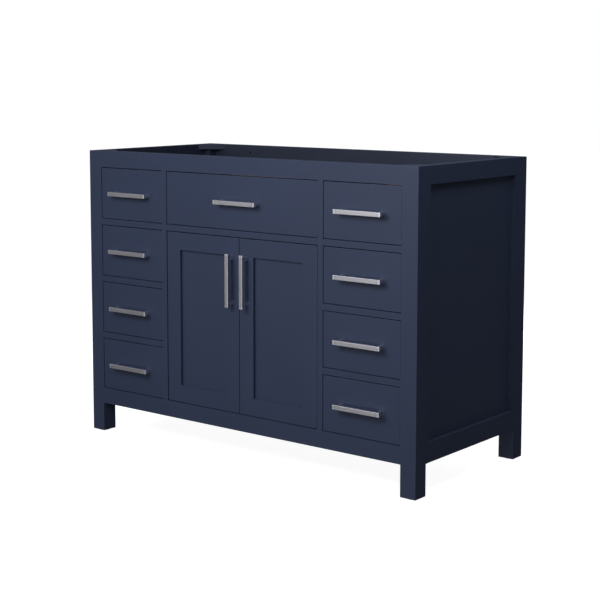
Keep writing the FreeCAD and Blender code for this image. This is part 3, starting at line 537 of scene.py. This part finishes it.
def plastic_material(settings, name):
    """Moulded plastic with a fine grain."""
    material, graph = new_material(name)
    place = graph.place()
    grain = graph.noise(place, 1 / settings.grain)
    scuffs = graph.noise(place, SCUFFS, detail=4.0)
    scuffed = shade(settings.colour, SCUFF_TONE)
    colour = graph.mix(graph.rise(scuffs, *SCUFF_EDGES), shade(settings.colour), scuffed)
    roughness = graph.spread(scuffs, settings.roughness - settings.smoother, settings.scuffed)
    surface(graph, Base_Color=colour, Roughness=roughness,
            Normal=graph.bump(grain, settings.relief, strength=0.5))
    return material


# Levers of the drawer runners

def bar_outline(length, start, end, bow):
    """Points along Y and Z round a bowed bar with round ends, from the origin towards the front."""
    shares = [step / BAR_STEPS for step in range(BAR_STEPS + 1)]
    middle = [(-length * share, -bow * math.sin(math.pi * share) ** 2, start + (end - start) * share)
              for share in shares]
    upper = [(y, z + half) for y, z, half in middle]
    lower = [(y, z - half) for y, z, half in reversed(middle)]
    turns = [math.pi * step / END_STEPS for step in range(1, END_STEPS)]
    front = [(-length - end * math.sin(turn), end * math.cos(turn)) for turn in turns]
    back = [(start * math.sin(turn), -start * math.cos(turn)) for turn in turns]
    return upper + front + lower + back


def round_outline(radius):
    """Points along Y and Z round a circle."""
    turns = [math.pi * step / END_STEPS for step in range(2 * END_STEPS)]
    return [(radius * math.sin(turn), radius * math.cos(turn)) for turn in turns]


def add_plate(shape, outline, inner, outer, soft):
    """Adds a plate between two places along X, with its outer rim softened."""
    rings = [[shape.verts.new((x, y, z)) for y, z in outline] for x in (inner, outer)]
    shape.faces.new(rings[0])
    rim = shape.faces.new(rings[1])
    for index in range(len(outline)):
        after = (index + 1) % len(outline)
        shape.faces.new((rings[0][index], rings[0][after], rings[1][after], rings[1][index]))
    bmesh.ops.bevel(shape, geom=list(rim.edges), offset=soft, segments=RIM_SEGMENTS, profile=0.5,
                    affect="EDGES")


def make_lever(settings, name, place, side):
    """One lever: its arm, the stud on its pivot and the ribs on its thumb end."""
    shape = bmesh.new()
    bow = settings.bow * side
    arm = bar_outline(settings.length, settings.pivot, settings.thumb, bow)
    face = settings.thick * side
    top = face + settings.raised * side
    add_plate(shape, arm, 0.0, face, settings.soft)
    add_plate(shape, round_outline(settings.stud), face - settings.soft * side, top, settings.soft)
    pitch = 2 * settings.rib
    for rib in range(LEVER_RIBS):
        step = rib - LEVER_RIBS // 2
        y = -settings.length + step * pitch
        reach = settings.thumb - 2 * settings.soft - abs(step) * settings.rib / 2
        ends = ((y, -reach), (y + settings.rib, -reach), (y + settings.rib, reach), (y, reach))
        add_plate(shape, ends, face - settings.soft * side, top, settings.soft)
    bmesh.ops.remove_doubles(shape, verts=shape.verts[:], dist=settings.soft * WELD)
    bmesh.ops.recalc_face_normals(shape, faces=shape.faces[:])
    bmesh.ops.translate(shape, verts=shape.verts[:], vec=place)
    mesh = bpy.data.meshes.new(name)
    shape.to_mesh(mesh)
    shape.free()
    lever = bpy.data.objects.new(name, mesh)
    bpy.context.scene.collection.objects.link(lever)
    return lever


def fit_levers(settings, drawer, material):
    """Puts a lever on the sliding member at each side of a drawer."""
    low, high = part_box(drawer + "_runners")
    box_low, box_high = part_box(drawer + "_box")
    y = low.y + (high.y - low.y) * settings.place
    z = (low.z + high.z) / 2
    for name, x, side in (("left", box_low.x, -1), ("right", box_high.x, 1)):
        place = Vector((x + settings.sheet * side, y, z))
        lever = make_lever(settings, "{}_lever_{}".format(drawer, name), place, side)
        lever.data.materials.append(material)
        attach(lever, drawer)


# The steps that dress the cabinet

class VANITY_OT_lacquer(bpy.types.Operator):
    """Sprays the lacquer on the cabinet, the drawer fronts and the doors"""

    bl_idname = "vanity.lacquer"
    bl_label = "Lacquer"

    def execute(self, context):
        material = lacquer_material(context.scene.vanity_lacquer)
        for node in nodes_in("navy_lacquer"):
            dress(node, material)
        return {"FINISHED"}


class VANITY_OT_boxes(bpy.types.Operator):
    """Finishes the drawer boxes in birch"""

    bl_idname = "vanity.boxes"
    bl_label = "Drawer Boxes"

    def execute(self, context):
        for node in nodes_in("birch"):
            dress(node, birch_material(context.scene.vanity_birch, node))
        return {"FINISHED"}


class VANITY_OT_pulls(bpy.types.Operator):
    """Brushes the pulls along their bars"""

    bl_idname = "vanity.pulls"
    bl_label = "Pulls"

    def execute(self, context):
        settings = context.scene.vanity_nickel
        level = nickel_material(settings, "brushed_nickel_level", 0)
        upright = nickel_material(settings, "brushed_nickel_upright", 2)
        for node in nodes_in("brushed_nickel"):
            dress(node, upright if "door" in node else level)
        return {"FINISHED"}


class VANITY_OT_fittings(bpy.types.Operator):
    """Plates the runners and hinges"""

    bl_idname = "vanity.fittings"
    bl_label = "Runners and Hinges"

    def execute(self, context):
        material = zinc_material(context.scene.vanity_zinc)
        for node in nodes_in("zinc_steel"):
            dress(node, material)
        return {"FINISHED"}


class VANITY_OT_glides(bpy.types.Operator):
    """Moulds the glides under the legs"""

    bl_idname = "vanity.glides"
    bl_label = "Glides"

    def execute(self, context):
        material = plastic_material(context.scene.vanity_plastic, "glide_plastic")
        for node in nodes_in("glide_plastic"):
            dress(node, material)
        return {"FINISHED"}


class VANITY_OT_levers(bpy.types.Operator):
    """Fits the release levers to the runners of every drawer"""

    bl_idname = "vanity.levers"
    bl_label = "Runner Levers"

    def execute(self, context):
        material = plastic_material(context.scene.vanity_plastic, "lever_plastic")
        for node in nodes_in("zinc_steel"):
            if "drawer" in node:
                fit_levers(context.scene.vanity_lever, node.removesuffix("_runners"), material)
        return {"FINISHED"}


# Studio

def ray_paths(graph):
    """Three masks: the rays from the camera, those off gloss and those through glass."""
    return [graph.node("ShaderNodeLightPath", output=name)
            for name in ("Is Camera Ray", "Is Glossy Ray", "Is Transmission Ray")]


def make_floor(settings):
    """A wide pale floor that reads white and keeps the cabinet's shadow."""
    mesh = bpy.data.meshes.new("floor")
    shape = bmesh.new()
    bmesh.ops.create_grid(shape, x_segments=1, y_segments=1, size=settings.floor_size / 2)
    shape.to_mesh(mesh)
    shape.free()
    floor = bpy.data.objects.new("floor", mesh)
    bpy.context.scene.collection.objects.link(floor)
    material, graph = new_material("floor")
    camera, glossy, through = ray_paths(graph)
    colour = graph.mix(camera, shade(settings.floor_colour), shade(settings.floor_shown))
    diffuse = graph.node("ShaderNodeBsdfDiffuse", None, {"Color": colour})
    glow = (camera + through) * settings.floor_glow
    light = graph.node("ShaderNodeEmission", None, {"Color": WHITE, "Strength": glow})
    pale = graph.node("ShaderNodeAddShader", None, {0: diffuse, 1: light})
    backdrop = graph.node("ShaderNodeBsdfTransparent")
    shader = graph.node("ShaderNodeMixShader", None, {0: glossy, 1: pale, 2: backdrop})
    graph.end("ShaderNodeOutputMaterial", shader)
    mesh.materials.append(material)


def make_sky(settings):
    """A soft sky, brighter towards the lamp, that the camera sees as white."""
    world = bpy.data.worlds.new("studio")
    world.use_nodes = True
    bpy.context.scene.world = world
    graph = Graph(world.node_tree)
    ray = graph.node("ShaderNodeTexCoord", output="Generated")
    lit = graph.rise(graph.dot(ray, direction(settings.sky_turn, settings.sky_lift)), *SKY_EDGES)
    soft = graph.spread(lit, settings.dark_side, settings.bright_side)
    shown = graph.rise(graph.dot(ray, direction(settings.mirror_turn, settings.mirror_lift)),
                       math.cos(settings.mirror_edge), math.cos(settings.mirror_core))
    steep = abs(graph.split(ray)[2])
    poles = graph.rise(steep, math.sin(settings.poles_start), math.sin(settings.poles_full))
    around = graph.spread(poles, settings.mirror_dark, settings.mirror_poles)
    mirrored = around + (settings.mirror_bright - around) * shown
    camera, glossy, through = ray_paths(graph)
    white = camera + through
    strength = (soft * (1 - glossy) + mirrored * glossy) * (1 - white) + white
    inputs = {"Color": WHITE, "Strength": strength}
    graph.end("ShaderNodeOutputWorld", graph.node("ShaderNodeBackground", None, inputs))


def direction(turn, lift):
    """A direction turned from the front to the left and lifted above the floor."""
    flat = math.cos(lift)
    return Vector((-flat * math.sin(turn), -flat * math.cos(turn), math.sin(lift)))


def make_lamp(settings, name):
    """A square soft lamp that faces its aim."""
    place = Vector(getattr(settings, name + "_place"))
    aim = Vector(getattr(settings, name + "_aim"))
    lamp = bpy.data.lights.new(name + "_lamp", "AREA")
    lamp.size = getattr(settings, name + "_size")
    lamp.energy = getattr(settings, name + "_power")
    item = bpy.data.objects.new(name + "_lamp", lamp)
    item.location = place
    item.rotation_euler = (place - aim).to_track_quat("Z", "Y").to_euler()
    item.visible_glossy = name != "back"
    bpy.context.scene.collection.objects.link(item)


def make_camera(settings):
    """The camera, level from side to side."""
    camera = bpy.data.cameras.new("camera")
    camera.lens = settings.lens
    camera.shift_x = settings.shift_x
    camera.shift_y = settings.shift_y
    item = bpy.data.objects.new("camera", camera)
    item.location = settings.camera_place
    item.rotation_euler = (math.pi / 2 - settings.camera_tilt, 0.0, settings.camera_turn)
    bpy.context.scene.collection.objects.link(item)
    bpy.context.scene.camera = item


class VANITY_OT_studio(bpy.types.Operator):
    """Sets up the floor, the light and the camera"""

    bl_idname = "vanity.studio"
    bl_label = "Studio"

    def execute(self, context):
        settings = context.scene.vanity_studio
        make_floor(settings)
        make_sky(settings)
        for name in LAMPS:
            make_lamp(settings, name)
        make_camera(settings)
        context.scene.view_settings.view_transform = "Standard"
        return {"FINISHED"}


# The add-on

SETTINGS = {
    "vanity_lacquer": LacquerSettings,
    "vanity_birch": BirchSettings,
    "vanity_nickel": NickelSettings,
    "vanity_zinc": ZincSettings,
    "vanity_plastic": PlasticSettings,
    "vanity_lever": LeverSettings,
    "vanity_studio": StudioSettings,
}
STEPS = (VANITY_OT_lacquer, VANITY_OT_boxes, VANITY_OT_pulls, VANITY_OT_fittings, VANITY_OT_glides,
         VANITY_OT_levers, VANITY_OT_studio)


class VANITY_PT_sidebar(bpy.types.Panel):
    """Lists the steps and their settings"""

    bl_idname = "VANITY_PT_sidebar"
    bl_label = "Bathroom Vanity"
    bl_space_type = "VIEW_3D"
    bl_region_type = "UI"
    bl_category = "Vanity"

    def draw(self, context):
        for step in STEPS:
            self.layout.operator(step.bl_idname)
        for name, group in SETTINGS.items():
            box = self.layout.box()
            for setting in group.__annotations__:
                box.prop(getattr(context.scene, name), setting)


def register():
    for item in (*SETTINGS.values(), *STEPS, VANITY_PT_sidebar):
        bpy.utils.register_class(item)
    for name, group in SETTINGS.items():
        setattr(bpy.types.Scene, name, bpy.props.PointerProperty(type=group))


def unregister():
    for name in SETTINGS:
        delattr(bpy.types.Scene, name)
    for item in (VANITY_PT_sidebar, *reversed(STEPS), *reversed(SETTINGS.values())):
        bpy.utils.unregister_class(item)


def run_step(step):
    """Calls an operator by its registered name."""
    group, name = step.bl_idname.split(".")
    getattr(getattr(bpy.ops, group), name)()


def main():
    """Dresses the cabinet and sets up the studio."""
    register()
    for step in STEPS:
        run_step(step)


if __name__ == "__main__":
    main()
